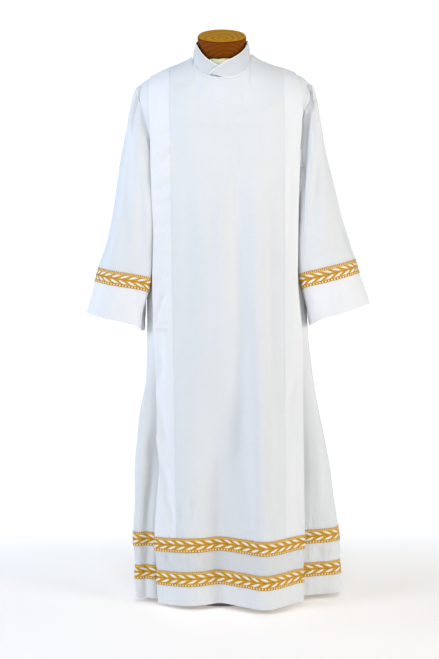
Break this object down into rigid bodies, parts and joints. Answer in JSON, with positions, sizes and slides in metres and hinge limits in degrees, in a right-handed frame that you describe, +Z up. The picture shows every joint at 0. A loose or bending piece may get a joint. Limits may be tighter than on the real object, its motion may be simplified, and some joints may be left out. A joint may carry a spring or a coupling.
{
  "type": "alb robe on dress form",
  "caption": "Long white front-wrap alb with a crossed stand collar, wide sleeves and woven gold bands, worn by a limbless dress form on a round foot.",
  "frame": {"origin": "centre of the underside of the stand's round base, on the floor", "axes": "+Z up; the robe's front faces -Y; +X is to the right of a viewer standing in front of the robe"},
  "size_m": [0.755, 0.4153, 1.5156],
  "materials": {
    "cloth": "plain white woven polyester and cotton, soft matte",
    "galloon": "woven gold galloon with white chevron leaves",
    "canvas": "cream canvas cover",
    "wood": "stained and varnished",
    "stand": "satin dark grey paint"
  },
  "bodies": {
    "root": {"back": "cloth", "collar": "cloth", "facing_left": "cloth", "facing_right": "cloth", "form_body": "canvas", "front_panel": "cloth", "neck_cap": "wood", "side_front_left": "cloth", "side_front_right": "cloth", "sleeve_left": "cloth", "sleeve_right": "cloth", "stand_base": "stand", "stand_pole": "stand", "trim_front_lower": "galloon", "trim_front_upper": "galloon", "trim_skirt_lower": "galloon", "trim_skirt_upper": "galloon", "trim_sleeve_left": "galloon", "trim_sleeve_right": "galloon"}
  },
  "joints": []
}
